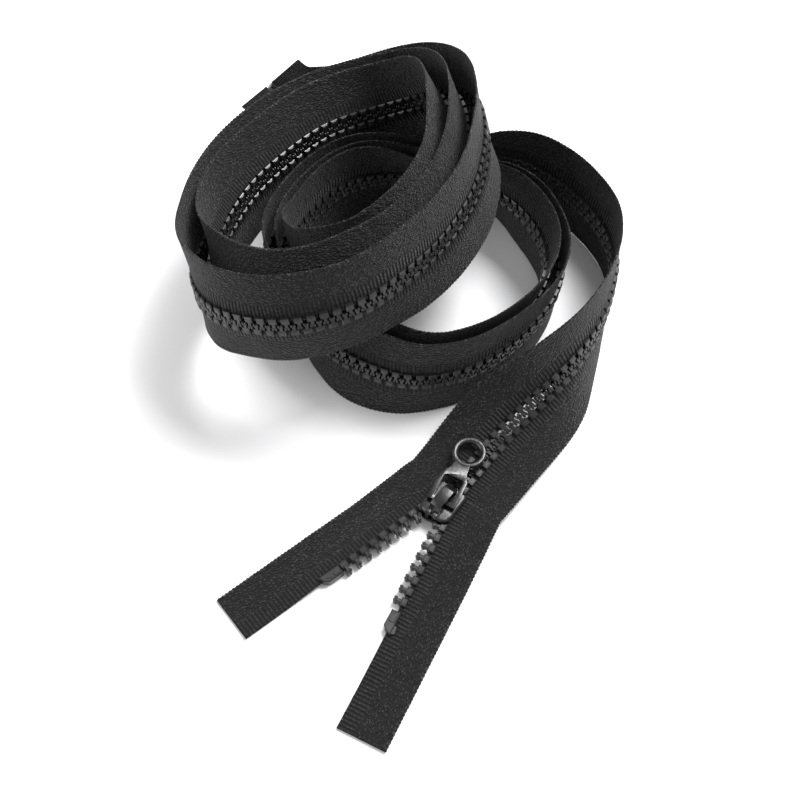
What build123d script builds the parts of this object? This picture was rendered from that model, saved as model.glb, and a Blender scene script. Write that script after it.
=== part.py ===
from build123d import *
import os
from math import cos, radians, sin, tan

# A closed-end zipper of moulded teeth, in millimetres. Its closed chain is coiled up on edge,
# and its two free tails lie in a V. The origin is on the surface below, under the middle.

# Chain
PITCH = 3.5              # from one tooth to the next in the same row
TOOTH_THICK = 2.6
BASE_LONG = 2.3          # tooth base, along the tape
BASE_IN = 1.2            # tooth base, from the chain's middle line
BASE_OUT = 2.95
NECK_LONG = 1.0
NECK_OUT = 0.3
HEAD_LONG = 1.5
HEAD_TIP = 1.0           # how far a head reaches past the middle line
SLOT = 0.9               # the slot in a tooth base that the tape's edge is moulded into

# Tape
TAPE_THICK = 0.6
TAPE_IN = 1.7            # tape edges, from the chain's middle line
TAPE_OUT = 16.0
TAPE_CUTS = (260, 520, 780, 1050, 1310)     # where the tape's solid is divided into laps

# Open end
CROTCH = (15.2, -33.4, 2.7)
AXIS_DEG = 50.9          # the chain's direction at the slider, from +X
OPEN_DEG = 12.5          # each tail's turn from that direction
TAIL_TEETH = 38.0        # how far the teeth run along a tail, from the crotch
STOP_LONG = 7.0
LEFT_TAIL = 71.0
RIGHT_TAIL = 74.0

# Slider
SLIDER_AHEAD = 5.0       # from the crotch to the slider's middle
SLIDER_LONG = 11.6
SLIDER_FRONT = 11.0      # widths of its plates
SLIDER_REAR = 9.6
PLATE = 1.1
CHANNEL = 3.2            # height between the plates
FLANGE = 0.9
TAPE_GAP = 1.2           # height of the slot that the tape leaves by
WEDGE_LONG = 3.0
WEDGE_WIDE = 1.5
HOLE_LONG = 1.8          # the lock pin's hole in the upper plate
HOLE_WIDE = 1.2
PIN_PLAY = 0.15
CAP_LONG = 9.0
CAP_WIDE = 3.4
CAP_HIGH = 3.6
CAP_WALL = 0.8
BAR_Z = 1.05             # the pull's bar, above the upper plate
SPRING_THICK = 0.25

# Pull
PULL_SKEW_DEG = 11.0     # how far it has swung sideways in the cap
PULL_LIFT_DEG = 1.0
PULL_THICK = 1.3
PULL_RADIUS = 4.8
PULL_HOLE_RADIUS = 3.2
PULL_RING_AT = 17.6      # from its bar to the middle of its ring
PULL_NECK = 4.4
PULL_FOOT = 8.6
PULL_SLOT_LONG = 7.6
PULL_SLOT_WIDE = 6.0
BAR = 1.3

BOTTOM_STOP_LONG = 5.0

# Where the closed chain goes from the crotch to its far end: x, y and z of its middle line, and
# how far the left and the right tape are turned up from flat, in degrees. The list was set by
# eye, one point every 10 mm or so; the chain is a cubic B-spline that runs close to them.
ROUTE = [
    (8.9, -41.2, 2.7, 0, 0), (15.2, -33.4, 2.7, 0, 0), (21.5, -25.6, 2.7, 2, 2),
    (28, -17.5, 4.5, 16, 10), (35, -10.5, 7.5, 38, 25), (42.5, -4.5, 11, 58, 43),
    (49, 1.5, 14, 66, 60), (55, 9, 15.5, 76, 74), (60.5, 18.5, 16, 82, 84),
    (64.5, 29.5, 16, 88, 88), (66.8, 40, 16, 90, 90), (66, 50, 16, 94, 90),
    (61.5, 60, 16, 96, 90), (54.5, 69, 16, 98, 90), (46, 77.5, 16, 97, 90),
    (36, 84, 15.8, 80, 78), (24, 88, 14.5, 58, 60), (10, 87.5, 14.5, 58, 60),
    (-3, 84, 15.7, 75, 75), (-14, 80.5, 16, 88, 88), (-24, 74.5, 16, 90, 92),
    (-32, 66, 16, 90, 92), (-38, 56, 16, 90, 90), (-41.5, 47, 16, 90, 90),
    (-41.5, 38, 16, 90, 90), (-36, 27, 16, 90, 90), (-28, 15.5, 16, 90, 90),
    (-18, 6, 15.5, 74, 74), (-7, -0.5, 15.5, 74, 74), (4, -3.8, 16, 84, 86),
    (16, -2, 16, 88, 90), (27, 4, 16, 92, 90), (36.5, 12.5, 16, 94, 90),
    (44, 21.5, 16, 98, 92), (48.5, 31, 16, 98, 92), (50, 41, 16, 94, 90),
    (47.5, 52, 16, 90, 90), (42.5, 62, 16, 90, 90), (35, 71, 15.9, 76, 78),
    (24, 78, 14.5, 60, 62), (11, 81.5, 14.7, 62, 64), (-2, 80.5, 15.7, 75, 75),
    (-13, 77.5, 16, 88, 88), (-23, 71, 16, 90, 90), (-30.5, 62, 16, 90, 90),
    (-36, 52, 16, 90, 90), (-38.5, 42, 16, 90, 90), (-34, 30, 16, 90, 90),
    (-26, 18.5, 16, 88, 88), (-15, 9, 15.5, 74, 74), (-4, 3, 15.5, 74, 74),
    (8, 0.5, 16, 86, 88), (18.5, 4, 16, 92, 90), (28.5, 10.5, 16, 96, 90),
    (36.5, 18.5, 16.5, 98, 90), (42, 26.5, 17, 100, 90), (45, 34.5, 17.5, 100, 90),
    (46, 43, 17.5, 97, 92), (43, 52.5, 17.5, 94, 92), (37.5, 62, 17, 92, 92),
    (29.5, 70.5, 15.8, 76, 78), (18.5, 75, 14.5, 60, 62), (6, 77.5, 14.8, 64, 66),
    (-6, 76, 16, 78, 78), (-15.5, 72, 17.5, 90, 92), (-23, 65.5, 18, 90, 92),
    (-29, 57.5, 18, 90, 92), (-33.5, 48, 18.5, 90, 90), (-34.5, 40.5, 20, 90, 90),
    (-30.5, 32, 24, 90, 90), (-25, 24.5, 30, 88, 90), (-17, 20, 37, 82, 88),
    (-8, 19, 42, 72, 80), (0, 24, 45, 66, 70), (7.5, 31.5, 46, 62, 65),
    (13, 42, 46, 60, 62), (16, 52, 46.5, 58, 62), (16.5, 63, 47, 56, 62),
    (15.5, 73, 47.2, 60, 68), (12.5, 82, 44.7, 75, 78), (5.5, 88.5, 36.5, 96, 88),
    (-4.5, 91, 30.5, 114, 92), (-15, 88.5, 28.5, 126, 94), (-24.5, 83.5, 28.5, 130, 95),
    (-32, 76, 28.5, 132, 96), (-39, 68, 28.5, 133, 97), (-45, 60, 28.5, 133, 98),
    (-49.5, 51, 28.5, 130, 98), (-52.5, 42, 29, 120, 96), (-54.5, 33, 30, 108, 93),
    (-55, 24, 32, 90, 90), (-53, 16, 35.5, 68, 88), (-48, 9, 39.5, 55, 88),
    (-40, 3.5, 43, 50, 88), (-30, 1, 45.5, 50, 88), (-20, 2, 47.2, 52, 88),
    (-10, 7, 48, 56, 82), (0, 15, 47, 62, 74), (8, 25, 46.5, 64, 68),
    (15, 36, 46.5, 64, 66), (19.5, 48, 46.7, 64, 66), (21, 60, 47.5, 64, 66),
    (20.5, 71, 47.6, 68, 70), (17.5, 81.5, 45, 80, 80), (10, 91, 37.5, 98, 88),
    (-1, 95, 31.5, 114, 92), (-13.5, 93, 28.5, 127, 94), (-25, 88, 28.5, 132, 95),
    (-35, 80, 28.5, 134, 96), (-42.5, 71.5, 28.5, 134, 97), (-48.5, 62.5, 28.5, 132, 98),
    (-53, 52.5, 28.5, 128, 98), (-56.5, 42, 29, 120, 96), (-59, 31, 30.5, 112, 94),
    (-59.5, 21, 33, 102, 92), (-57, 12, 36, 88, 90), (-52.5, 4.5, 39.5, 78, 90),
    (-44, -1.5, 42.5, 74, 90), (-33, -5, 45, 72, 90), (-22, -5, 47.5, 70, 90),
    (-11, -1.5, 48.2, 72, 88), (-1, 7.5, 48.6, 77, 80), (8.5, 18, 47, 77, 74),
    (16, 29.5, 46.7, 77, 70), (21.5, 41, 47, 77, 68), (24.5, 53.5, 47.2, 77, 68),
    (25.5, 65.5, 48.2, 78, 70), (24, 77, 46.7, 83, 76), (18.5, 88.5, 41, 94, 84),
    (8.5, 97, 34, 104, 90), (-4.5, 99.5, 27.5, 108, 90), (-16, 100.5, 21, 106, 92),
    (-27.5, 104, 17.5, 100, 92), (-37, 107, 19.5, 95, 90), (-44, 108.5, 25, 92, 90),
    (-50, 109, 31.5, 90, 90),
]
STEPS = 40               # points worked out between two stations, to measure the length by


def spline_point(t):
    """The station at parameter t of the uniform cubic B-spline."""
    first = min(int(t), len(ROUTE) - 4)
    u = t - first
    weights = ((1 - u) ** 3, 3 * u ** 3 - 6 * u * u + 4, -3 * u ** 3 + 3 * u * u + 3 * u + 1, u ** 3)
    return [sum(w * ROUTE[first + k][i] for k, w in enumerate(weights)) / 6 for i in range(5)]


def measured_route():
    """Pairs of (distance along the chain, spline parameter)."""
    pairs = [(0.0, 0.0)]
    last = Vector(*spline_point(0)[:3])
    for k in range(1, (len(ROUTE) - 3) * STEPS + 1):
        here = Vector(*spline_point(k / STEPS)[:3])
        pairs.append((pairs[-1][0] + (here - last).length, k / STEPS))
        last = here
    return pairs


MEASURED = measured_route()
CHAIN_LONG = MEASURED[-1][0]


def parameter_at(distance):
    low, high = 0, len(MEASURED) - 1
    while high - low > 1:
        middle = (low + high) // 2
        if MEASURED[middle][0] > distance:
            high = middle
        else:
            low = middle
    (d0, t0), (d1, t1) = MEASURED[low], MEASURED[high]
    return t0 + (t1 - t0) * (distance - d0) / (d1 - d0)


class Frame:
    """The chain's middle point, its direction, and the way each tape leaves it."""

    def __init__(self, distance):
        t = min(max(parameter_at(distance), 0.01), len(ROUTE) - 3.01)
        x, y, z, left, right = spline_point(t)
        self.middle = Vector(x, y, z)
        ahead, behind = spline_point(t + 0.01), spline_point(t - 0.01)
        self.along = (Vector(*ahead[:3]) - Vector(*behind[:3])).normalized()
        self.level = Vector(-self.along.Y, self.along.X, 0).normalized()
        self.rise = self.along.cross(self.level)
        self.left = self.turned(left)
        self.right = self.turned(right) * -1
        self.mean = self.turned((left + right) / 2)
        self.face = self.along.cross(self.mean)

    def turned(self, bank):
        return self.level * cos(radians(bank)) + self.rise * sin(radians(bank))


def tape_section(frame, side):
    """The four corners of one tape at a frame; side is 1 for left and -1 for right."""
    outward = frame.left if side > 0 else frame.right
    up = frame.face * (TAPE_THICK / 2)
    edge_up = frame.along.cross(outward) * (side * TAPE_THICK / 2)
    root = frame.middle + frame.mean * (side * TAPE_IN)
    edge = frame.middle + outward * TAPE_OUT
    return [root - up, edge - edge_up, edge + edge_up, root + up]


def ribbon(sections):
    """One closed solid through the sections, with straight runs between them."""
    return Solid.make_loft([Wire.make_polygon(points, close=True) for points in sections], ruled=True)


def tape_frames():
    """Frames two teeth apart, from just past the crotch to the far end."""
    count = round(CHAIN_LONG / (2 * PITCH))
    return [Frame(CHAIN_LONG * k / count) for k in range(1, count + 1)]


def first_section(side):
    """The tape's end at the crotch, cut on the slant so that the tail has room to turn."""
    frame = Frame(0)
    slant = tan(radians(OPEN_DEG))
    offsets = (TAPE_IN, TAPE_OUT, TAPE_OUT, TAPE_IN)
    corners = tape_section(frame, side)
    return [p + frame.along * (offset * slant + 0.3) for p, offset in zip(corners, offsets)]


def coil_tape(side):
    """One tape as a solid for each lap, face to face with the next."""
    frames = tape_frames()
    step = CHAIN_LONG / len(frames)
    cuts = [0] + [round(c / step) for c in TAPE_CUTS] + [len(frames)]
    sections = [first_section(side)] + [tape_section(f, side) for f in frames]
    return [ribbon(sections[a:b + 1]) for a, b in zip(cuts, cuts[1:])]


def tooth():
    """One left tooth: X along the tape, Y away from the middle line, Z up. Its base is slotted
    for the tape, and its head reaches across the middle line."""
    half = TOOTH_THICK / 2
    base = Box(BASE_LONG, BASE_OUT - BASE_IN, TOOTH_THICK, align=(Align.CENTER, Align.MIN, Align.CENTER))
    slot_deep = BASE_OUT - TAPE_IN + 0.05
    slot = Box(BASE_LONG, slot_deep, SLOT, align=(Align.CENTER, Align.MAX, Align.CENTER))
    base = Pos(0, BASE_IN, 0) * base - Pos(0, BASE_OUT, 0) * slot
    n, h = NECK_LONG / 2, HEAD_LONG / 2
    outline = [
        (-n, BASE_IN), (-n, NECK_OUT), (-h, 0), (-h, -HEAD_TIP * 0.6), (-h * 0.5, -HEAD_TIP),
        (h * 0.5, -HEAD_TIP), (h, -HEAD_TIP * 0.6), (h, 0), (n, NECK_OUT), (n, BASE_IN),
    ]
    front = Pos(0, 0, -half) * make_face(Polyline(*outline, close=True))
    return (base + extrude(front, TOOTH_THICK)).solid()


def place(shape, frame, side):
    """The left-hand shape set at a frame; the right row's is the same one turned about."""
    plane = Plane(origin=frame.middle, x_dir=frame.along * side, z_dir=frame.face)
    return plane.location * shape


def coil_teeth(side):
    first = PITCH * (0.25 if side > 0 else 0.75)
    count = int((CHAIN_LONG - BOTTOM_STOP_LONG - first) / PITCH)
    one = tooth()
    return [place(one, Frame(first + PITCH * k), side) for k in range(count)]


def at_crotch(turn):
    """The location at the crotch, turned about the vertical from the chain's direction."""
    return Pos(*CROTCH) * Rot(0, 0, AXIS_DEG + turn)


def tail_flat(outline, thick):
    """A flat piece of a tail, from an outline in (distance from the crotch, offset)."""
    face = make_face(Polyline(*outline, close=True))
    return Pos(0, 0, -thick / 2) * extrude(face, thick)


def tail_outline(points, side):
    """Points in (distance from the crotch, offset), as they lie with X along the chain."""
    return [(-x, y * side) for x, y in points]


def tail_place(shape, side):
    return (at_crotch(-side * OPEN_DEG) * shape).solids()


def tail_tape(side):
    long = LEFT_TAIL if side > 0 else RIGHT_TAIL
    outline = tail_outline([(0.3, TAPE_IN), (long, TAPE_IN), (long, TAPE_OUT), (0.3, TAPE_OUT)], side)
    return tail_place(tail_flat(outline, TAPE_THICK), side)


def tail_teeth(side):
    """The teeth of a tail keep step with their own row in the coil."""
    first = PITCH * (0.75 if side > 0 else 0.25)
    one = tooth()
    if side < 0:
        one = Rot(0, 0, 180) * one
    count = int((TAIL_TEETH - first) / PITCH) + 1
    return [s for k in range(count) for s in tail_place(Pos(-first - PITCH * k, 0, 0) * one, side)]


def top_stop(side):
    """A moulded block in line with the teeth, slotted for the tape, with a shoulder."""
    start = TAIL_TEETH + 1.0
    outline = [
        (start, 0.5), (start + 1.2, 0.15), (start + STOP_LONG - 2.0, 0.15),
        (start + STOP_LONG - 0.9, 1.1), (start + STOP_LONG, BASE_OUT), (start, BASE_OUT),
    ]
    block = tail_flat(tail_outline(outline, side), TOOTH_THICK)
    slot_deep = BASE_OUT - TAPE_IN + 0.05
    slot = Pos(-start, side * (BASE_OUT - slot_deep / 2), 0) * Box(3 * STOP_LONG, slot_deep, SLOT)
    return tail_place(block - slot, side)


def bottom_stop():
    """The block that joins both rows at the far end."""
    half = BASE_IN
    block = Box(BOTTOM_STOP_LONG - 1.2, 2 * half, TOOTH_THICK)
    frame = Frame(CHAIN_LONG - BOTTOM_STOP_LONG / 2)
    return place(block, frame, 1).solids()


def slider_place(shape):
    """The slider's own X points to the stops, and its Z is up."""
    return (at_crotch(180) * Pos(SLIDER_AHEAD, 0, 0) * shape).solids()


def plate_outline(thick):
    """A slider plate: wide rounded shoulders in front, narrower behind."""
    front, rear, back = SLIDER_FRONT / 2, SLIDER_REAR / 2, SLIDER_LONG / 2
    points = [
        (-back, -rear), (back * 0.35, -front), (back * 0.8, -front * 0.86), (back, -front * 0.45),
        (back * 0.86, 0), (back, front * 0.45), (back * 0.8, front * 0.86), (back * 0.35, front),
        (-back, rear),
    ]
    solid = extrude(make_face(Polyline(*points, close=True)), thick)
    return fillet(solid.edges().filter_by(Axis.Z), 0.8)


def slider_body():
    """Two plates, the wedge that joins them and parts the rows, and flanges at the sides."""
    top = CHANNEL / 2
    upper = Pos(0, 0, top) * plate_outline(PLATE)
    lower = Pos(0, 0, -top - PLATE) * plate_outline(PLATE)
    back, front = -SLIDER_LONG / 2, SLIDER_LONG / 2
    wedge_points = [
        (front - WEDGE_LONG - 1.2, 0), (front - 1.6, -WEDGE_WIDE / 2), (front - 1.0, 0),
        (front - 1.6, WEDGE_WIDE / 2),
    ]
    wedge = Pos(0, 0, -top) * extrude(make_face(Polyline(*wedge_points, close=True)), CHANNEL)
    body = upper + lower + wedge
    high = (CHANNEL - TAPE_GAP) / 2
    for side in (1, -1):
        rail = [
            (back + 0.6, side * (SLIDER_REAR / 2 - 0.3)), (-0.5, side * (SLIDER_FRONT / 2 - 0.3)),
            (-0.5, side * (SLIDER_FRONT / 2 - 0.3 - FLANGE)),
            (back + 0.6, side * (SLIDER_REAR / 2 - 0.3 - FLANGE)),
        ]
        for foot in (top - high, -top):
            body += Pos(0, 0, foot) * extrude(make_face(Polyline(*rail, close=True)), high)
    hole = Pos(-1.0, 0, top + PLATE / 2) * Box(HOLE_LONG, HOLE_WIDE, 2 * PLATE)
    return slider_place(body - hole)


def slider_cap():
    """The bridge on the upper plate that the pull hangs from: a strip bent into an arch."""
    foot = CHANNEL / 2 + PLATE
    half = CAP_LONG / 2
    outer = [
        (-half, 0), (-half, CAP_HIGH * 0.55), (-half * 0.6, CAP_HIGH), (half * 0.35, CAP_HIGH),
        (half * 0.8, CAP_HIGH * 0.72), (half, 0),
    ]
    w = CAP_WALL
    inner = [
        (-half + w, 0), (-half + w, CAP_HIGH * 0.5), (-half * 0.55, CAP_HIGH - w),
        (half * 0.3, CAP_HIGH - w), (half * 0.8 - w, CAP_HIGH * 0.6), (half - w, 0),
    ]
    side = Plane.XZ
    arch = extrude(side * make_face(Polyline(*outer, close=True)), CAP_WIDE / 2, both=True)
    arch -= extrude(side * make_face(Polyline(*inner, close=True)), CAP_WIDE, both=True)
    return slider_place(Pos(0, 0, foot) * arch)


def lock_spring():
    """A leaf under the roof of the cap that presses the lock pin down."""
    z = CHANNEL / 2 + PLATE + CAP_HIGH - CAP_WALL - 0.35
    leaf = Pos(-0.4, 0, z) * Box(3.6, CAP_WIDE - 1.4, SPRING_THICK)
    return slider_place(leaf)


def lock_pin():
    """A pin through the upper plate that drops between two teeth."""
    low = CHANNEL / 2 - 0.15
    high = CHANNEL / 2 + PLATE + CAP_HIGH - CAP_WALL - 0.35 - SPRING_THICK / 2 - 0.9
    long, wide = HOLE_LONG - 2 * PIN_PLAY, HOLE_WIDE - 2 * PIN_PLAY
    pin = Pos(-1.0, 0, low) * Box(long * 0.5, wide, high - low, align=(Align.CENTER, Align.CENTER, Align.MIN))
    return slider_place(pin)


def pull_tab():
    """A ring, a neck and two legs with a bar between them, lying back over the closed chain."""
    ring = Pos(PULL_RING_AT, 0, 0) * Cylinder(PULL_RADIUS, PULL_THICK)
    r = BAR / 2
    points = [
        (-r, -PULL_FOOT / 2), (4.5, -PULL_FOOT / 2), (PULL_RING_AT - 5.5, -PULL_NECK / 2 - 0.4),
        (PULL_RING_AT - 1.5, -PULL_RADIUS * 0.92), (PULL_RING_AT - 1.5, PULL_RADIUS * 0.92),
        (PULL_RING_AT - 5.5, PULL_NECK / 2 + 0.4), (4.5, PULL_FOOT / 2), (-r, PULL_FOOT / 2),
    ]
    blade = Pos(0, 0, -PULL_THICK / 2) * extrude(make_face(Polyline(*points, close=True)), PULL_THICK)
    window = Pos(r + PULL_SLOT_LONG / 2, 0, 0) * Box(PULL_SLOT_LONG, PULL_SLOT_WIDE, 2 * PULL_THICK)
    hole = Pos(PULL_RING_AT, 0, 0) * Cylinder(PULL_HOLE_RADIUS, 2 * PULL_THICK)
    tab = blade + ring - window - hole
    tab = Rot(0, -PULL_LIFT_DEG, 0) * tab
    turned = Rot(0, 0, 180 + PULL_SKEW_DEG) * tab
    return slider_place(Pos(0.6, 0, CHANNEL / 2 + PLATE + BAR_Z) * turned)


def pieces():
    """The solids of every node, by name."""
    found = {}
    for name, side in (("left", 1), ("right", -1)):
        for number, lap in enumerate(coil_tape(side), 1):
            found[f"{name}_tape_{number}"] = [lap]
        found[f"{name}_teeth"] = coil_teeth(side)
        found[f"{name}_tail_tape"] = tail_tape(side)
        found[f"{name}_tail_teeth"] = tail_teeth(side)
        found[f"{name}_top_stop"] = top_stop(side)
    found["bottom_stop"] = bottom_stop()
    found["slider_body"] = slider_body()
    found["slider_cap"] = slider_cap()
    found["lock_spring"] = lock_spring()
    found["lock_pin"] = lock_pin()
    found["pull_tab"] = pull_tab()
    return found


def main():
    """Write the parts, moved so that the origin is under the middle of the whole."""
    os.makedirs("parts", exist_ok=True)
    found = pieces()
    boxes = [s.bounding_box() for solids in found.values() for s in solids]
    low = [min(tuple(box.min)[i] for box in boxes) for i in range(3)]
    high = [max(tuple(box.max)[i] for box in boxes) for i in range(3)]
    shift = Pos(-(low[0] + high[0]) / 2, -(low[1] + high[1]) / 2, -low[2])
    for name, solids in found.items():
        moved = [shift * s for s in solids]
        export_step(moved[0] if len(moved) == 1 else Compound(children=moved), f"parts/{name}.step")
    print("chain length", round(CHAIN_LONG, 1), "low", low, "high", high)


main()
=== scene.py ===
from math import cos, pi, radians, sin

import bmesh
import bpy
import numpy as np
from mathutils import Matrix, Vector


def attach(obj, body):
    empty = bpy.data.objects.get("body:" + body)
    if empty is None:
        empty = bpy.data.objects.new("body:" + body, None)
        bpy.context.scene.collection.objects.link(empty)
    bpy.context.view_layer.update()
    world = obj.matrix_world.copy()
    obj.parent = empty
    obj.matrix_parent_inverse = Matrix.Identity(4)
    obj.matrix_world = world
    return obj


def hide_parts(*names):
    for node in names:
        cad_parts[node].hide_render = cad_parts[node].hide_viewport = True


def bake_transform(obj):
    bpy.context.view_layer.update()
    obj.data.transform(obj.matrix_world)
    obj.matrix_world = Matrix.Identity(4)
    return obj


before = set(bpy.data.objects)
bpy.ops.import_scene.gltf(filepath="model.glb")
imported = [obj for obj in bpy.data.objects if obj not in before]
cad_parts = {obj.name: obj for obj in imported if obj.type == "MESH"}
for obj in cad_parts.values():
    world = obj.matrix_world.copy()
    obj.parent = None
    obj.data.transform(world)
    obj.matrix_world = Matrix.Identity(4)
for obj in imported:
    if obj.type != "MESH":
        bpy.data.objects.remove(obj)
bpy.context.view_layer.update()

MM = 0.001
UP = np.array([0.0, 0.0, 1.0])
SIDES = {1: "left", -1: "right"}
SHIFT = np.array([-1.643, -1.769, 0.130])    # the chain's own coordinates to the frame's, in mm

# ---------------------------------------------------------------- the chain's route
# lengths are in mm; distances along the chain and the tails run from the crotch
PITCH = 3.5
TAPE_IN, TAPE_OUT = 1.7, 16.0                # the tape's two edges, from the chain's middle line
RIB, LOOP = PITCH / 3, 1.17                  # spacing of the tape's cross ribs and its edge's loops
RIBS_END, EDGE_HIGHLIGHT_START = 6.4, 15.1             # where the ribs end, and where the rolled edge with its painted highlight starts
STEP = PITCH / 9           # between the tape's rows of points
CROTCH = np.array([15.2, -33.4, 2.7])
AXIS_DEG, OPEN_DEG = 50.9, 12.5              # the slider's way, and each tail's turn away from it
SEAM_FADE = 16                               # the length in which a tape takes up that turn
TAIL_TEETH = 38.0
TAIL_LONG = {1: 71.0, -1: 74.0}
TAIL_DROP, TAIL_REST = 1.3, 1.4              # the tail teeth's fall, and their height after it
FLAT_REST = 0.42                             # height of the bare tape's middle on the floor

# x, y and z of the chain's middle line, then the left and right tape's turn up from flat
ROUTE = np.array([
    (8.9, -41.2, 2.7, 0, 0), (15.2, -33.4, 2.7, 0, 0), (21.5, -25.6, 2.7, 2, 2),
    (28, -17.5, 4.5, 16, 10), (35, -10.5, 7.5, 38, 25), (42.5, -4.5, 11, 58, 43),
    (49, 1.5, 14, 66, 60), (55, 9, 15.5, 76, 74), (60.5, 18.5, 16, 82, 84),
    (64.5, 29.5, 16, 88, 88), (66.8, 40, 16, 90, 90), (66, 50, 16, 94, 90),
    (61.5, 60, 16, 96, 90), (54.5, 69, 16, 98, 90), (46, 77.5, 16, 97, 90),
    (36, 84, 15.8, 80, 78), (24, 88, 14.5, 58, 60), (10, 87.5, 14.5, 58, 60),
    (-3, 84, 15.7, 75, 75), (-14, 80.5, 16, 88, 88), (-24, 74.5, 16, 90, 92),
    (-32, 66, 16, 90, 92), (-38, 56, 16, 90, 90), (-41.5, 47, 16, 90, 90),
    (-41.5, 38, 16, 90, 90), (-36, 27, 16, 90, 90), (-28, 15.5, 16, 90, 90),
    (-18, 6, 15.5, 74, 74), (-7, -0.5, 15.5, 74, 74), (4, -3.8, 16, 84, 86),
    (16, -2, 16, 88, 90), (27, 4, 16, 92, 90), (36.5, 12.5, 16, 94, 90),
    (44, 21.5, 16, 98, 92), (48.5, 31, 16, 98, 92), (50, 41, 16, 94, 90),
    (47.5, 52, 16, 90, 90), (42.5, 62, 16, 90, 90), (35, 71, 15.9, 76, 78),
    (24, 78, 14.5, 60, 62), (11, 81.5, 14.7, 62, 64), (-2, 80.5, 15.7, 75, 75),
    (-13, 77.5, 16, 88, 88), (-23, 71, 16, 90, 90), (-30.5, 62, 16, 90, 90),
    (-36, 52, 16, 90, 90), (-38.5, 42, 16, 90, 90), (-34, 30, 16, 90, 90),
    (-26, 18.5, 16, 88, 88), (-15, 9, 15.5, 74, 74), (-4, 3, 15.5, 74, 74),
    (8, 0.5, 16, 86, 88), (18.5, 4, 16, 92, 90), (28.5, 10.5, 16, 96, 90),
    (36.5, 18.5, 16.5, 98, 90), (42, 26.5, 17, 100, 90), (45, 34.5, 17.5, 100, 90),
    (46, 43, 17.5, 97, 92), (43, 52.5, 17.5, 94, 92), (37.5, 62, 17, 92, 92),
    (29.5, 70.5, 15.8, 76, 78), (18.5, 75, 14.5, 60, 62), (6, 77.5, 14.8, 64, 66),
    (-6, 76, 16, 78, 78), (-15.5, 72, 17.5, 90, 92), (-23, 65.5, 18, 90, 92),
    (-29, 57.5, 18, 90, 92), (-33.5, 48, 18.5, 90, 90), (-34.5, 40.5, 20, 90, 90),
    (-30.5, 32, 24, 90, 90), (-25, 24.5, 30, 88, 90), (-17, 20, 37, 82, 88),
    (-8, 19, 42, 72, 80), (0, 24, 45, 66, 70), (7.5, 31.5, 46, 62, 65),
    (13, 42, 46, 60, 62), (16, 52, 46.5, 58, 62), (16.5, 63, 47, 56, 62),
    (15.5, 73, 47.2, 60, 68), (12.5, 82, 44.7, 75, 78), (5.5, 88.5, 36.5, 96, 88),
    (-4.5, 91, 30.5, 114, 92), (-15, 88.5, 28.5, 126, 94), (-24.5, 83.5, 28.5, 130, 95),
    (-32, 76, 28.5, 132, 96), (-39, 68, 28.5, 133, 97), (-45, 60, 28.5, 133, 98),
    (-49.5, 51, 28.5, 130, 98), (-52.5, 42, 29, 120, 96), (-54.5, 33, 30, 108, 93),
    (-55, 24, 32, 90, 90), (-53, 16, 35.5, 68, 88), (-48, 9, 39.5, 55, 88),
    (-40, 3.5, 43, 50, 88), (-30, 1, 45.5, 50, 88), (-20, 2, 47.2, 52, 88),
    (-10, 7, 48, 56, 82), (0, 15, 47, 62, 74), (8, 25, 46.5, 64, 68),
    (15, 36, 46.5, 64, 66), (19.5, 48, 46.7, 64, 66), (21, 60, 47.5, 64, 66),
    (20.5, 71, 47.6, 68, 70), (17.5, 81.5, 45, 80, 80), (10, 91, 37.5, 98, 88),
    (-1, 95, 31.5, 114, 92), (-13.5, 93, 28.5, 127, 94), (-25, 88, 28.5, 132, 95),
    (-35, 80, 28.5, 134, 96), (-42.5, 71.5, 28.5, 134, 97), (-48.5, 62.5, 28.5, 132, 98),
    (-53, 52.5, 28.5, 128, 98), (-56.5, 42, 29, 120, 96), (-59, 31, 30.5, 112, 94),
    (-59.5, 21, 33, 102, 92), (-57, 12, 36, 88, 90), (-52.5, 4.5, 39.5, 78, 90),
    (-44, -1.5, 42.5, 74, 90), (-33, -5, 45, 72, 90), (-22, -5, 47.5, 70, 90),
    (-11, -1.5, 48.2, 72, 88), (-1, 7.5, 48.6, 77, 80), (8.5, 18, 47, 77, 74),
    (16, 29.5, 46.7, 77, 70), (21.5, 41, 47, 77, 68), (24.5, 53.5, 47.2, 77, 68),
    (25.5, 65.5, 48.2, 78, 70), (24, 77, 46.7, 83, 76), (18.5, 88.5, 41, 94, 84),
    (8.5, 97, 34, 104, 90), (-4.5, 99.5, 27.5, 108, 90), (-16, 100.5, 21, 106, 92),
    (-27.5, 104, 17.5, 100, 92), (-37, 107, 19.5, 95, 90), (-44, 108.5, 25, 92, 90),
    (-50, 109, 31.5, 90, 90),
], float)
STEPS = 40


def spline_points(t):
    """The stations at spline parameters t."""
    first = np.minimum(t.astype(int), len(ROUTE) - 4)
    u = (t - first)[:, None]
    return ((1 - u) ** 3 * ROUTE[first] + (3 * u ** 3 - 6 * u * u + 4) * ROUTE[first + 1]
            + (-3 * u ** 3 + 3 * u * u + 3 * u + 1) * ROUTE[first + 2] + u ** 3 * ROUTE[first + 3]) / 6


T_ALL = np.linspace(0, len(ROUTE) - 3 - 1e-6, (len(ROUTE) - 3) * STEPS + 1)
P_ALL = spline_points(T_ALL)
LEGS = np.linalg.norm(np.diff(P_ALL[:, :3], axis=0), axis=1)
S_ALL = np.concatenate([[0], np.cumsum(LEGS)])
CHAIN_LONG = S_ALL[-1]


def unit(v):
    return v / np.linalg.norm(v, axis=-1, keepdims=True)


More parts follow.
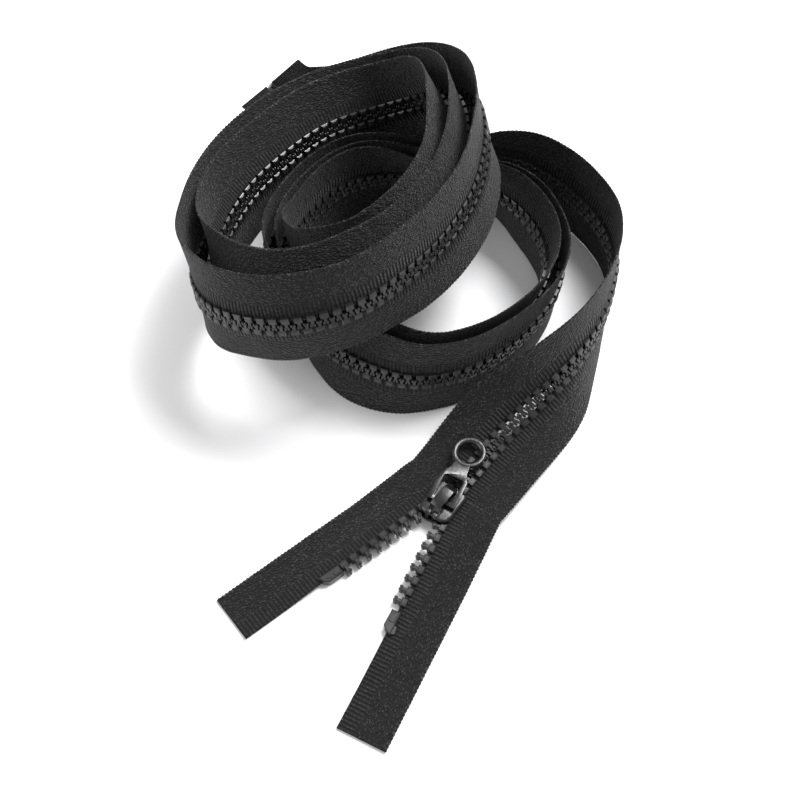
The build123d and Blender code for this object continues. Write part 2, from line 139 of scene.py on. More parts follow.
class Frames:
    """Middles, directions and tape ways of the chain at the given distances from the crotch."""

    def __init__(self, distances):
        t = np.clip(np.interp(distances, S_ALL, T_ALL), 0.01, len(ROUTE) - 3.01)
        p = spline_points(t)
        self.middle = p[:, :3] + SHIFT
        self.along = unit(spline_points(t + 0.01)[:, :3] - spline_points(t - 0.01)[:, :3])
        self.level = unit(np.stack([-self.along[:, 1], self.along[:, 0], 0 * t], 1))
        self.rise = np.cross(self.along, self.level)
        self.left = self.turned(p[:, 3])
        self.right = -self.turned(p[:, 4])
        self.mean = self.turned((p[:, 3] + p[:, 4]) / 2)
        self.face = np.cross(self.along, self.mean)

    def turned(self, bank):
        b = np.radians(bank)[:, None]
        return self.level * np.cos(b) + self.rise * np.sin(b)


def spun(vectors, degrees):
    """Vectors turned about the vertical, each by its own angle."""
    c, s = np.cos(np.radians(degrees)), np.sin(np.radians(degrees))
    x, y, z = vectors[:, 0], vectors[:, 1], vectors[:, 2]
    return np.stack([c * x - s * y, s * x + c * y, z], 1)


def seam_turn(distances):
    """How far, in degrees, each tape turns to meet the other part of it at the crotch."""
    return OPEN_DEG / 2 * np.clip(1 - distances / SEAM_FADE, 0, 1) ** 2


def noise(x, seed):
    """A slow, smooth, repeatable wander between about -1 and 1."""
    return (np.sin(x + seed) + 0.6 * np.sin(x * 2.3 + 2.1 * seed)
            + 0.4 * np.sin(x * 5.1 + 3.7 * seed)) / 2


# ---------------------------------------------------------------- materials
class Nodes:
    """Short calls for building one material's nodes."""

    def __init__(self, name):
        self.material = bpy.data.materials.new(name)
        self.material.use_nodes = True
        self.tree = self.material.node_tree
        self.shader = self.tree.nodes["Principled BSDF"]

    def add(self, kind, **values):
        node = self.tree.nodes.new(kind)
        for key, value in values.items():
            if key in node.inputs:
                node.inputs[key].default_value = value
            else:
                setattr(node, key, value)
        return node

    def link(self, a, b):
        self.tree.links.new(a, b)

    def math(self, operation, a, b=None):
        node = self.tree.nodes.new("ShaderNodeMath")
        node.operation = operation
        for socket, value in zip(node.inputs, (a, b)):
            if value is None:
                continue
            if isinstance(value, (int, float)):
                socket.default_value = value
            else:
                self.link(value, socket)
        return node.outputs[0]

    def ramp(self, factor, *stops):
        node = self.tree.nodes.new("ShaderNodeValToRGB")
        while len(node.color_ramp.elements) < len(stops):
            node.color_ramp.elements.new(0.5)
        for element, (at, colour) in zip(node.color_ramp.elements, stops):
            element.position = at
            element.color = (*colour, 1)
        self.link(factor, node.inputs[0])
        return node.outputs[0]

    def bump(self, height, distance, strength=1.0, normal=None):
        node = self.add("ShaderNodeBump", Strength=strength, Distance=distance)
        self.link(height, node.inputs["Height"])
        if normal:
            self.link(normal, node.inputs["Normal"])
        return node.outputs[0]


def tape_material():
    """Black polyester: a diagonal twill of floats and ribs beside the chain, with the rolled outer
    edge painted lighter as a painted highlight.
    The mesh's UV holds millimetres along and across."""
    yarn_along, yarn_across = 0.62, 0.7
    n = Nodes("tape_weave")
    uv = n.add("ShaderNodeUVMap", uv_map="weave").outputs[0]
    split = n.add("ShaderNodeSeparateXYZ")
    n.link(uv, split.inputs[0])
    along, across = split.outputs[0], split.outputs[1]
    yarn_u = n.math("MULTIPLY", along, 2 * pi / yarn_along)
    yarn_v = n.math("MULTIPLY", across, 2 * pi / yarn_across)
    cells = n.math("MULTIPLY", n.math("SINE", yarn_u), n.math("SINE", yarn_v))
    turned = n.add("ShaderNodeMapping")
    turned.inputs["Rotation"].default_value = (0, 0, radians(32))
    turned.inputs["Scale"].default_value = (1.0, 1.9, 1.0)
    n.link(uv, turned.inputs["Vector"])
    stitch = n.add("ShaderNodeTexVoronoi", Scale=0.95, Randomness=0.75)
    n.link(turned.outputs[0], stitch.inputs["Vector"])
    knots = n.math("SUBTRACT", 1.15, n.math("MULTIPLY", stitch.outputs["Distance"], 2.1))
    weave = n.math("ADD", knots, n.math("MULTIPLY", cells, 0.25))
    rib = n.math("SINE", n.math("MULTIPLY", along, 2 * pi / RIB))
    near = n.math("LESS_THAN", across, RIBS_END)
    edge = n.math("GREATER_THAN", across, EDGE_HIGHLIGHT_START)
    plain = n.math("SUBTRACT", 1.0, near)
    ribbed = n.math("ADD", n.math("MULTIPLY", rib, 0.55), n.math("MULTIPLY", knots, 0.45))
    height = n.math("ADD", n.math("MULTIPLY", weave, plain),
                    n.math("MULTIPLY", ribbed, near))
    fine = n.add("ShaderNodeTexNoise", Scale=2.6, Detail=3.0)
    n.link(uv, fine.inputs["Vector"])
    coarse = n.add("ShaderNodeTexNoise", Scale=0.12, Detail=2.0)
    n.link(uv, coarse.inputs["Vector"])
    lit = n.math("ADD", n.math("MULTIPLY", height, 0.6),
                 n.math("MULTIPLY", fine.outputs[0], 0.45))
    # painted highlight: the rolled outer edge is painted lighter
    lit = n.math("ADD", lit, n.math("MULTIPLY", edge, 0.12))
    colour = n.ramp(lit, (0.2, (0.0014, 0.0014, 0.0015)), (0.5, (0.007, 0.007, 0.0075)),
                    (0.72, (0.04, 0.04, 0.041)), (0.95, (0.11, 0.11, 0.112)))
    fade = n.add("ShaderNodeMixRGB", blend_type="MULTIPLY")
    fade.inputs[0].default_value = 0.35
    n.link(colour, fade.inputs[1])
    n.link(coarse.outputs[0], fade.inputs[2])
    n.link(fade.outputs[0], n.shader.inputs["Base Color"])
    rough = n.math("ADD", 0.62, n.math("MULTIPLY", fine.outputs[0], 0.2))
    n.link(rough, n.shader.inputs["Roughness"])
    n.shader.inputs["Sheen Weight"].default_value = 0.12
    n.shader.inputs["Sheen Roughness"].default_value = 0.4
    n.shader.inputs["Specular IOR Level"].default_value = 0.3
    first = n.bump(height, 0.0003, 1.0)
    n.link(n.bump(fine.outputs[0], 0.00008, 0.5, first), n.shader.inputs["Normal"])
    return n.material


def plastic_material():
    """Black acetal: satin, with fine moulding grain and faint scuffs."""
    n = Nodes("tooth_plastic")
    where = n.add("ShaderNodeTexCoord").outputs["Object"]
    grain = n.add("ShaderNodeTexNoise", Scale=2600.0, Detail=3.0)
    n.link(where, grain.inputs["Vector"])
    patch = n.add("ShaderNodeTexNoise", Scale=180.0, Detail=4.0)
    n.link(where, patch.inputs["Vector"])
    n.link(n.ramp(patch.outputs[0], (0.3, (0.006, 0.006, 0.0065)), (0.75, (0.014, 0.014, 0.0145))),
           n.shader.inputs["Base Color"])
    rough = n.math("ADD", 0.22, n.math("MULTIPLY", patch.outputs[0], 0.22))
    n.link(rough, n.shader.inputs["Roughness"])
    n.shader.inputs["Specular IOR Level"].default_value = 0.55
    n.link(n.bump(grain.outputs[0], 0.00002, 0.5), n.shader.inputs["Normal"])
    return n.material


def lacquer_material():
    """Black lacquer on die-cast zinc: satin with a slight orange peel and patches of wear."""
    n = Nodes("black_lacquer")
    where = n.add("ShaderNodeTexCoord").outputs["Object"]
    peel = n.add("ShaderNodeTexNoise", Scale=900.0, Detail=2.0)
    n.link(where, peel.inputs["Vector"])
    wear = n.add("ShaderNodeTexNoise", Scale=260.0, Detail=5.0)
    n.link(where, wear.inputs["Vector"])
    n.link(n.ramp(wear.outputs[0], (0.35, (0.003, 0.003, 0.0032)), (0.8, (0.012, 0.012, 0.0125))),
           n.shader.inputs["Base Color"])
    rough = n.math("ADD", 0.14, n.math("MULTIPLY", wear.outputs[0], 0.3))
    n.link(rough, n.shader.inputs["Roughness"])
    n.shader.inputs["Coat Weight"].default_value = 0.15
    n.shader.inputs["Coat Roughness"].default_value = 0.25
    n.link(n.bump(peel.outputs[0], 0.00008, 0.8), n.shader.inputs["Normal"])
    return n.material


def steel_material():
    """Bare spring steel with faint drawing lines."""
    n = Nodes("spring_steel")
    where = n.add("ShaderNodeTexCoord").outputs["Object"]
    lines = n.add("ShaderNodeTexNoise", Scale=700.0, Detail=4.0)
    n.link(where, lines.inputs["Vector"])
    n.link(n.ramp(lines.outputs[0], (0.3, (0.16, 0.16, 0.165)), (0.8, (0.4, 0.4, 0.41))),
           n.shader.inputs["Base Color"])
    n.shader.inputs["Metallic"].default_value = 1.0
    rough = n.math("ADD", 0.25, n.math("MULTIPLY", lines.outputs[0], 0.25))
    n.link(rough, n.shader.inputs["Roughness"])
    return n.material


TAPE, PLASTIC = tape_material(), plastic_material()
LACQUER, STEEL = lacquer_material(), steel_material()


# ---------------------------------------------------------------- meshes
def mesh_object(name, points, faces, material, smooth=True, uv=None):
    """An object from points in millimetres of the frame."""
    mesh = bpy.data.meshes.new(name)
    mesh.from_pydata((np.asarray(points) * MM).tolist(), [], faces)
    mesh.materials.append(material)
    mesh.polygons.foreach_set("use_smooth", [smooth] * len(mesh.polygons))
    if uv is not None:
        layer = mesh.uv_layers.new(name="weave")
        index = np.empty(len(mesh.loops), np.int32)
        mesh.loops.foreach_get("vertex_index", index)
        layer.data.foreach_set("uv", np.asarray(uv, np.float32)[index].ravel())
    mesh.update()
    obj = bpy.data.objects.new(name, mesh)
    bpy.context.collection.objects.link(obj)
    return obj


# how far out the tape's columns of points lie, from its toothed edge to its outer one
ACROSS = np.array([1.7, 2.2, 2.7, 3.2, 3.8, 4.4, 5.0, 5.6, 6.2, 6.6, 7.4, 8.4, 9.4, 10.4, 11.4,
                   12.4, 13.4, 14.2, 14.7, 15.1, 15.4, 15.7, 16.0])


def thickness(across, along):
    """Half the tape's thickness: a core cord, cross ribs, plain weave and a rolled edge."""
    cord = 0.28 * np.exp(-((across - 1.95) / 0.45) ** 2)
    ribbed = (across > 2.6) & (across < RIBS_END)
    ribs = 0.07 * (0.5 + 0.5 * np.cos(2 * pi * along / RIB)) * ribbed
    groove = -0.09 * np.exp(-((across - 6.5) / 0.22) ** 2)
    loops = 0.6 + 0.4 * np.cos(2 * pi * along / LOOP)
    edge = 0.10 * np.exp(-((across - 15.4) / 0.3) ** 2) * loops
    return 0.21 + cord + ribs + groove + edge


def sheet_mesh(name, base, face, distances, side):
    """A closed strip: base(wide, long) gives its middle surface's points, face its normals."""
    rows, cols = len(distances), len(ACROSS)
    wide = np.broadcast_to(ACROSS, (rows, cols))
    long = np.broadcast_to(np.asarray(distances)[:, None], (rows, cols))
    scallop = np.where(wide > 15.5, 0.16 * np.cos(2 * pi * long / LOOP), 0)
    middle = base(wide + scallop, long)
    half = thickness(wide, long) * np.where(wide > 15.9, 0.25, 1.0)
    normal = face if face.ndim == 3 else np.broadcast_to(face[:, None, :], middle.shape)
    top = (middle + normal * half[..., None]).reshape(-1, 3)
    low = (middle - normal * half[..., None]).reshape(-1, 3)
    grid = np.arange(rows * cols).reshape(rows, cols)
    a, b = grid[:-1, :-1].ravel(), grid[1:, :-1].ravel()
    c, d = grid[1:, 1:].ravel(), grid[:-1, 1:].ravel()
    n = rows * cols
    upper = np.stack([a, b, c, d], 1)
    lower = np.stack([a, d, c, b], 1) + n
    rim = np.concatenate([grid[0, :], grid[1:, -1], grid[-1, -2::-1], grid[-2:0:-1, 0]])
    after = np.roll(rim, -1)
    wall = np.stack([rim, after, after + n, rim + n], 1)
    faces = np.concatenate([upper, lower, wall])
    if side > 0:
        faces = faces[:, ::-1]
    uv = np.stack([long.ravel(), wide.ravel()], 1)
    points, uvs = np.concatenate([top, low]), np.concatenate([uv, uv])
    return mesh_object(name, points, faces.tolist(), TAPE, True, uvs)


def coil_tape(side):
    """One tape of the coil, in one strip from the crotch to the far end."""
    distances = np.linspace(0.0, CHAIN_LONG, int((CHAIN_LONG - 0.6) / STEP))
    f = Frames(distances)
    out = spun(f.left if side > 0 else f.right, -side * seam_turn(distances))
    edge_face = np.cross(f.along, out) * side
    share = (ACROSS / TAPE_OUT)[None, :, None]
    face = unit(f.face[:, None, :] * (1 - share) + edge_face[:, None, :] * share)
    root = f.middle + f.mean * (side * TAPE_IN)
    bow = 0.35 * noise(distances / 17, 1.3 + side) + 0.2 * noise(distances / 6, 4.1 + side)
    calm = np.clip(distances / 30, 0, 1)

    def base(wide, long):
        part = ((wide - TAPE_IN) / (TAPE_OUT - TAPE_IN))[..., None]
        edge = f.middle[:, None, :] + out[:, None, :] * TAPE_OUT
        points = root[:, None, :] * (1 - part) + edge * part
        swing = (part[..., 0] * (1.6 - part[..., 0])) * (bow * calm)[:, None] * 0.8
        return points + face * swing[..., None]

    return sheet_mesh(f"{SIDES[side]}_coil_tape", base, face, distances, side)


def tail_axes(side):
    """Directions along a tail towards its stops, and across it."""
    turn = radians(AXIS_DEG + 180 - side * OPEN_DEG)
    away = np.array([cos(turn), sin(turn), 0])
    across = np.array([-sin(turn), cos(turn), 0]) * -side
    return away, across


def tail_height(distance):
    """How high a tail's toothed edge lies: held up by the slider, then down on its own teeth."""
    ease = np.clip((distance - 12) / 26, 0, 1)
    ease = ease * ease * (3 - 2 * ease)
    return CROTCH[2] - TAIL_DROP * ease


def tail_tape(side):
    """One tail's tape: its outer edge sinks to the floor, and all of it does past the teeth."""
    long_end = TAIL_LONG[side]
    distances = np.linspace(-0.15, long_end, int(long_end / STEP))
    away, across = tail_axes(side)
    shape = (len(distances), 3)
    sideways = spun(np.broadcast_to(across, shape), side * seam_turn(distances))

    def base(wide, long):
        high = tail_height(long)
        past = np.clip((long - 45) / 14, 0, 1)
        high = high * (1 - past) + FLAT_REST * past
        share = (wide - TAPE_IN) / (TAPE_OUT - TAPE_IN)
        settle = np.clip((long - 4) / 22, 0, 1)
        drop = (high - FLAT_REST) * np.clip(share * 1.35, 0, 1) ** 1.6 * settle
        wave = (0.28 * noise(long / 9, 2.0 + side) * share
                + 0.12 * noise(long / 3.5 + wide / 6, 5 + side))
        z = np.maximum(high - drop + wave, 0.4)
        points = CROTCH + SHIFT + away * long[..., None] + sideways[:, None, :] * wide[..., None]
        points[..., 2] = z + SHIFT[2]
        return points

    name = f"{SIDES[side]}_tail_cloth"
    return sheet_mesh(name, base, np.broadcast_to(UP, shape), distances, -side)


def loft(outlines, heights):
    """Points and faces of a solid through stacked outlines with the same number of corners."""
    count = len(outlines[0])
    points = [(x, y, z) for outline, z in zip(outlines, heights) for x, y in outline]
    faces = [tuple(range(count - 1, -1, -1))]
    for k in range(len(outlines) - 1):
        for i in range(count):
            j = (i + 1) % count
            faces.append((k * count + i, k * count + j, (k + 1) * count + j, (k + 1) * count + i))
    last = (len(outlines) - 1) * count
    faces.append(tuple(last + i for i in range(count)))
    return np.array(points, float), faces


def shrink(outline, by):
    """The outline moved in by a distance, corner by corner."""
    result = []
    for k, p in enumerate(outline):
        a, b = np.subtract(p, outline[k - 1]), np.subtract(outline[(k + 1) % len(outline)], p)
        a, b = a / np.hypot(*a), b / np.hypot(*b)
        normal = np.array([-a[1] - b[1], a[0] + b[0]])
        normal /= max(np.hypot(*normal), 1e-6)
        cosine = max(normal @ np.array([-a[1], a[0]]), 0.5)
        result.append(tuple(np.array(p) + normal * by / cosine))
    return result


def bevelled(outline, low, high, bevel):
    """A plate with both rims bevelled; the outline runs anticlockwise."""
    small = shrink(outline, bevel)
    return loft([small, outline, outline, small], [low, low + bevel, high - bevel, high])


def tooth_parts():
    """One left tooth in parts: a bevelled base tile, a narrow neck, and a two-lobed head."""
    half = 1.3
    tile = [(-1.2, 1.15), (1.2, 1.15), (1.2, 3.1), (-1.2, 3.1)]
    base = bevelled(tile, -half, half, 0.26)
    rim = [(-0.7, 1.6), (0.7, 1.6), (0.7, 2.65), (-0.7, 2.65)]
    pad = bevelled(rim, half - 0.1, half + 0.1, 0.1)
    under = bevelled(rim, -half - 0.1, -half + 0.1, 0.1)
    bar = [(-0.52, -0.3), (0.52, -0.3), (0.52, 1.4), (-0.52, 1.4)]
    neck = bevelled(bar, -half + 0.15, half - 0.15, 0.14)
    lobes = []
    for way in (-1, 1):
        ring = [(way * 0.42 + 0.41 * cos(a), -0.42 + 0.6 * sin(a)) for a in np.arange(14) * pi / 7]
        lobes.append(bevelled(ring, -half, half, 0.17))
    return [base, pad, under, neck] + lobes


def merged(parts):
    """Several shapes as one set of points and faces."""
    points, faces, base = [], [], 0
    for p, f in parts:
        points.append(p)
        faces += [tuple(base + i for i in face) for face in f]
        base += len(p)
    return np.concatenate(points), faces


TOOTH = merged(tooth_parts())


def set_at(shape, origins, xs, ys, zs):
    """Copies of a shape at many frames, as one set of points and faces."""
    points, faces = shape
    count = len(points)
    placed = (origins[:, None, :] + points[None, :, 0:1] * xs[:, None, :]
              + points[None, :, 1:2] * ys[:, None, :] + points[None, :, 2:3] * zs[:, None, :])
    every = []
    for k in range(len(origins)):
        shift = k * count
        every += [tuple(shift + i for i in face) for face in faces]
    return placed.reshape(-1, 3), every


def coil_teeth(side):
    first = PITCH * (0.25 if side > 0 else 0.75)
    count = int((CHAIN_LONG - 5.0 - first) / PITCH)
    f = Frames(first + PITCH * np.arange(count))
    points, faces = set_at(TOOTH, f.middle, f.along * side, f.mean * side, f.face)
    return mesh_object(f"{SIDES[side]}_coil_teeth", points, faces, PLASTIC, False)


def tail_frames(distances, side):
    """Origins and axes of the teeth along a tail."""
    away, across = tail_axes(side)
    origins = (CROTCH + SHIFT)[None, :] + np.outer(distances, away)
    origins[:, 2] = tail_height(distances) + SHIFT[2]
    slope = (tail_height(distances + 0.5) - tail_height(distances - 0.5))[:, None]
    xs = unit(np.broadcast_to(away, origins.shape) + slope * UP)
    ys = np.broadcast_to(across, origins.shape)
    return origins, xs, ys, np.cross(xs, ys) * np.sign(np.cross(xs, ys)[:, 2:3])


def tail_teeth(side):
    first = PITCH * (0.75 if side > 0 else 0.25)
    count = int((TAIL_TEETH - first) / PITCH) + 1
    distances = first + PITCH * np.arange(count)
    points, faces = set_at(TOOTH, *tail_frames(distances, side))
    if side > 0:
        faces = [face[::-1] for face in faces]
    return mesh_object(f"{SIDES[side]}_tail_chain", points, faces, PLASTIC, False)


def top_stop(side):
    """A moulded block in line with the teeth, faceted on the left, padded on the right."""
    s = TAIL_TEETH + 1.0
    body = [(s, 0.15), (s + 5.0, 0.15), (s + 6.1, 1.1), (s + 7.0, 2.95), (s, 2.95)]
    parts = [bevelled(body, -1.3, 1.3, 0.3)]
    if side > 0:
        facet = [(s + 0.5, 0.6), (s + 2.6, 0.6), (s + 2.9, 1.5), (s + 1.5, 2.4), (s + 0.4, 1.5)]
        parts.append(bevelled(facet, 1.15, 1.55, 0.14))
        parts.append(bevelled([(s + 3.4, 0.6), (s + 5.2, 1.4), (s + 3.4, 2.4)], 1.15, 1.5, 0.12))
    else:
        pad = [(s + 0.6, 0.7), (s + 3.6, 0.7), (s + 3.6, 2.5), (s + 0.6, 2.5)]
        foot = [(s + 4.0, 2.2), (s + 6.6, 2.9), (s + 6.2, 4.0), (s + 3.8, 3.6)]
        parts.append(bevelled(pad, 1.15, 1.5, 0.14))
        parts.append(bevelled(foot, -0.2, 0.75, 0.14))
    points, faces = merged(parts)
    away, across = tail_axes(side)
    origin = CROTCH + SHIFT
    origin[2] = TAIL_REST + SHIFT[2]
    placed = origin + points[:, 0:1] * away + points[:, 1:2] * across + points[:, 2:3] * UP
    if side > 0:
        faces = [face[::-1] for face in faces]
    return mesh_object(f"{SIDES[side]}_stop_moulding", placed, faces, PLASTIC, False)


def bottom_stop():
    shape = bevelled([(-1.9, -1.15), (1.9, -1.15), (1.9, 1.15), (-1.9, 1.15)], -1.45, 1.45, 0.3)
    f = Frames(np.array([CHAIN_LONG - 2.5]))
    points, faces = set_at(shape, f.middle, f.along, f.mean, f.face)
    return mesh_object("bottom_stop_moulding", points, faces, PLASTIC, False)


# ---------------------------------------------------------------- slider and pull
SLIDER_AT = 5.0                              # the slider's middle, past the crotch
CHANNEL_HALF, PLATE_THICK = 1.6, 1.1
PULL_SKEW_DEG, PULL_LIFT_DEG = 11, 1.0       # how the pull lies over the chain
RING_AT, RING_STRETCH = 17.6, 1.02
BAR_AT, BAR_UP = 0.6, 1.05                   # the pull's bar, past the middle and over the plate


def slider_axes():
    """The slider's middle, and its x towards the stops, y and z."""
    turn = radians(AXIS_DEG + 180)
    x = np.array([cos(turn), sin(turn), 0])
    y = np.array([-sin(turn), cos(turn), 0])
    return CROTCH + SHIFT + SLIDER_AT * x, x, y, UP


def finished(name, parts, axes, material, bevel, holes=()):
    """One piece from several overlapping solids: united, drilled, bevelled and smoothed."""
    origin, x, y, z = axes
    objects = []
    for k, (points, faces) in enumerate(list(parts) + list(holes)):
        placed = origin + points[:, 0:1] * x + points[:, 1:2] * y + points[:, 2:3] * z
        objects.append(mesh_object(f"{name}_{k}", placed, faces, material, False))
    main = objects[0]
    main.name = name
    for k, other in enumerate(objects[1:], 1):
        join = main.modifiers.new("join", "BOOLEAN")
        join.operation = "UNION" if k < len(parts) else "DIFFERENCE"
        join.solver = "EXACT"
        join.object = other
        bpy.context.view_layer.objects.active = main
        bpy.ops.object.modifier_apply(modifier=join.name)
        bpy.data.objects.remove(other, do_unlink=True)
    round_off = main.modifiers.new("edges", "BEVEL")
    round_off.width = bevel * MM
    round_off.segments = 3
    round_off.limit_method = "ANGLE"
    round_off.angle_limit = radians(28)
    bpy.context.view_layer.objects.active = main
    bpy.ops.object.modifier_apply(modifier=round_off.name)
    main.data.polygons.foreach_set("use_smooth", [True] * len(main.data.polygons))
    main.data.update()
    return main


def plate_outline():
    """Rounded shoulders in front, narrower behind, anticlockwise."""
    half = [(5.1, 0.0), (5.5, 1.4), (5.4, 3.0), (4.2, 4.6), (2.0, 5.0), (-1.5, 4.7), (-5.0, 4.5),
            (-5.8, 3.8)]
    return half + [(x, -y) for x, y in reversed(half[1:])]


def slider_body():
    """Two plates joined by a wedge in front, side rails, and the lock pin's hole."""
    outline = plate_outline()
    upper = [shrink(outline, 0.3), outline, outline, shrink(outline, 0.5)]
    lower = [shrink(outline, 0.4), outline, outline, shrink(outline, 0.2)]
    parts = [loft(upper, [1.6, 1.8, 2.35, 2.7]), loft(lower, [-2.7, -2.4, -1.8, -1.6])]
    parts.append(loft([[(1.6, 0), (4.1, -0.75), (4.8, 0), (4.1, 0.75)]] * 2, [-1.7, 1.7]))
    for side in (1, -1):
        rail = [(-5.2, side * 3.5), (-0.5, side * 3.9), (-0.5, side * 4.7), (-5.2, side * 4.3)]
        if side < 0:
            rail.reverse()
        parts.append(loft([rail] * 2, [0.6, 1.7]))
        parts.append(loft([rail] * 2, [-1.7, -0.6]))
    hole = loft([[(-1.9, -0.7), (-0.1, -0.7), (-0.1, 0.7), (-1.9, 0.7)]] * 2, [1.2, 3.0])
    return finished("slider_body_cast", parts, slider_axes(), LACQUER, 0.16, [hole])


def slider_cap():
    """The bridge: a bent strip with faceted ends and two small square feet in front."""
    outer = [(-4.5, 2.6), (-4.5, 4.7), (-2.7, 6.3), (1.6, 6.3), (3.6, 5.3), (4.5, 2.6)]
    inner = [(3.7, 2.6), (2.8, 4.9), (1.35, 5.5), (-2.5, 5.5), (-3.7, 4.5), (-3.7, 2.6)]
    profile = outer + inner
    points = np.array([(px, side * 1.7, pz) for side in (-1, 1) for px, pz in profile])
    n = len(profile)
    faces = []
    for k in range(len(outer) - 1):
        quad = (k, k + 1, n - 2 - k, n - 1 - k)
        faces.append(quad)
        faces.append(tuple(n + i for i in reversed(quad)))
    for i in range(n):
        j = (i + 1) % n
        faces.append((i, n + i, n + j, j))
    foot = bevelled([(4.2, -1.9), (5.5, -1.9), (5.5, -0.3), (4.2, -0.3)], 2.5, 3.5, 0.2)
    other = bevelled([(4.2, 0.3), (5.5, 0.3), (5.5, 1.9), (4.2, 1.9)], 2.5, 3.5, 0.2)
    return finished("slider_bridge", [(points, faces), foot, other], slider_axes(), LACQUER, 0.2)


def steel_box(name, low, high, bevel):
    """A bevelled block between two corners in the slider's axes."""
    outline = [(low[0], low[1]), (high[0], low[1]), (high[0], high[1]), (low[0], high[1])]
    return finished(name, [loft([outline] * 2, [low[2], high[2]])], slider_axes(), STEEL, bevel)


def pull_tab():
    """A ring with a raised rim, a flat neck, and two legs joined by a bar under the bridge."""
    origin, x = slider_axes()[:2]
    turn, lift = radians(AXIS_DEG + PULL_SKEW_DEG), radians(PULL_LIFT_DEG)
    px = np.array([cos(turn) * cos(lift), sin(turn) * cos(lift), sin(lift)])
    py = np.array([-sin(turn), cos(turn), 0])
    pz = np.cross(px, py)
    bar = origin + BAR_AT * x + (CHANNEL_HALF + PLATE_THICK + BAR_UP) * UP
    rows = 48
    angles = np.arange(rows) * 2 * pi / rows
    # the ring's section as radius and height, slightly raised at the rim
    section = [(3.25, -0.45), (3.5, -0.65), (4.6, -0.65), (4.85, -0.35), (4.85, 0.45), (4.6, 0.75),
               (4.0, 0.8), (3.6, 0.68), (3.25, 0.35)]
    ring_points = [(RING_AT + r * RING_STRETCH * cos(a), r * sin(a), h)
                   for a in angles for r, h in section]
    m = len(section)
    ring_faces = []
    for i in range(rows):
        j = (i + 1) % rows
        for k in range(m):
            q = (k + 1) % m
            ring_faces.append((i * m + k, j * m + k, j * m + q, i * m + q))
    parts = [(np.array(ring_points), ring_faces)]
    neck = [(8.4, -3.9), (10.6, -2.7), (13.6, -2.3), (14.2, -3.1), (14.2, 3.1), (13.6, 2.3),
            (10.6, 2.7), (8.4, 3.9)]
    parts.append(loft([neck] * 2, [-0.55, 0.55]))
    for side in (1, -1):
        leg = [(-0.65, side * 3.0), (7.9, side * 3.0), (8.6, side * 2.2), (9.6, side * 3.2),
               (8.2, side * 4.0), (4.5, side * 4.3), (-0.65, side * 4.3)]
        if side < 0:
            leg.reverse()
        parts.append(loft([leg] * 2, [-0.6, 0.6]))
    parts.append(loft([[(-0.6, -3.2), (0.6, -3.2), (0.6, 3.2), (-0.6, 3.2)]] * 2, [-0.58, 0.58]))
    return finished("pull_cast", parts, (bar, px, py, pz), LACQUER, 0.18)


def fix_normals(obj):
    """All faces outward."""
    bm = bmesh.new()
    bm.from_mesh(obj.data)
    bmesh.ops.recalc_face_normals(bm, faces=bm.faces)
    bm.to_mesh(obj.data)
    bm.free()


# ---------------------------------------------------------------- the whole
def put(obj, body, slot_name, *nodes):
    """A finished piece on its body, standing for its CAD nodes; the slot name is not used."""
    fix_normals(obj)
    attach(obj, body)
    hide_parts(*nodes)
    return obj


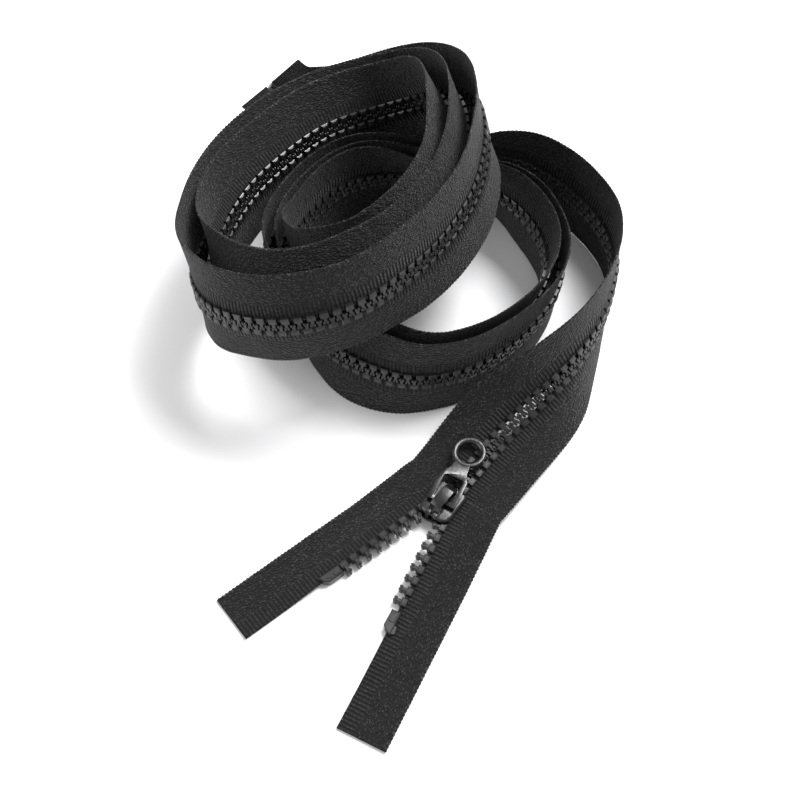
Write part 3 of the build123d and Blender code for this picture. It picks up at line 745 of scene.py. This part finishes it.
def build():
    for side, name in SIDES.items():
        laps = [f"{name}_tape_{k}" for k in range(1, 7)]
        tape = put(coil_tape(side), "coil", "tape", *laps)
        tail = tail_tape(side)
        fix_normals(tail)
        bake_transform(tail)
        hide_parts(f"{name}_tail_tape")
        put(coil_teeth(side), "coil", "teeth", f"{name}_teeth")
        put(tail_teeth(side), f"{name}_tail", "teeth", f"{name}_tail_teeth")
        put(top_stop(side), f"{name}_tail", "teeth", f"{name}_top_stop")
    put(bottom_stop(), "coil", "teeth", "bottom_stop")
    put(slider_body(), "slider", "lacquer", "slider_body")
    put(slider_cap(), "slider", "lacquer", "slider_cap")
    spring = steel_box("spring_leaf", (-2.2, -1.0, 5.02), (1.4, 1.0, 5.27), 0.05)
    put(spring, "slider", "steel", "lock_spring")
    pin = steel_box("pin_blade", (-1.37, -0.45, 1.45), (-0.63, 0.45, 4.1), 0.06)
    put(pin, "lock", "steel", "lock_pin")
    put(pull_tab(), "pull", "lacquer", "pull_tab")


build()


# ---------------------------------------------------------------- floor, lights, camera
def floor():
    bpy.ops.mesh.primitive_plane_add(size=6, location=(0, 0, 0))
    plane = bpy.context.object
    plane.name = "floor"
    n = Nodes("white_surface")
    n.shader.inputs["Base Color"].default_value = (0.86, 0.86, 0.87, 1)
    n.shader.inputs["Roughness"].default_value = 0.28
    n.shader.inputs["Specular IOR Level"].default_value = 0.35
    plane.data.materials.append(n.material)


def light(name, where, size, power, aim=(0, 0, 0.02)):
    data = bpy.data.lights.new(name, "AREA")
    data.shape = "RECTANGLE"
    data.size, data.size_y = size
    data.energy = power
    obj = bpy.data.objects.new(name, data)
    obj.location = where
    obj.rotation_euler = (Vector(aim) - Vector(where)).to_track_quat("-Z", "Y").to_euler()
    bpy.context.collection.objects.link(obj)


floor()
light("key_above", (0.35, 0.3, 0.8), (0.45, 0.35), 12)
light("fill_left", (-0.8, -0.1, 0.6), (0.6, 0.6), 3)
light("rim_back", (0.1, 0.9, 0.5), (0.9, 0.4), 4)
world = bpy.data.worlds.new("studio")
bpy.context.scene.world = world
world.use_nodes = True
background = world.node_tree.nodes["Background"]
background.inputs["Color"].default_value = (1, 1, 1, 1)
background.inputs["Strength"].default_value = 0.62
bpy.context.scene.view_settings.view_transform = "Standard"

TILT, DISTANCE = 58.0, 0.364
camera_data = bpy.data.cameras.new("camera")
camera_data.lens = 54
camera_data.sensor_width = 36
camera_data.clip_start = 0.01
camera = bpy.data.objects.new("camera", camera_data)
target = Vector((SHIFT * MM).tolist())
away = Vector((0, -DISTANCE * cos(radians(TILT)), DISTANCE * sin(radians(TILT))))
camera.location = target + away
camera.rotation_euler = (radians(90 - TILT), 0, 0)
bpy.context.collection.objects.link(camera)
bpy.context.scene.camera = camera
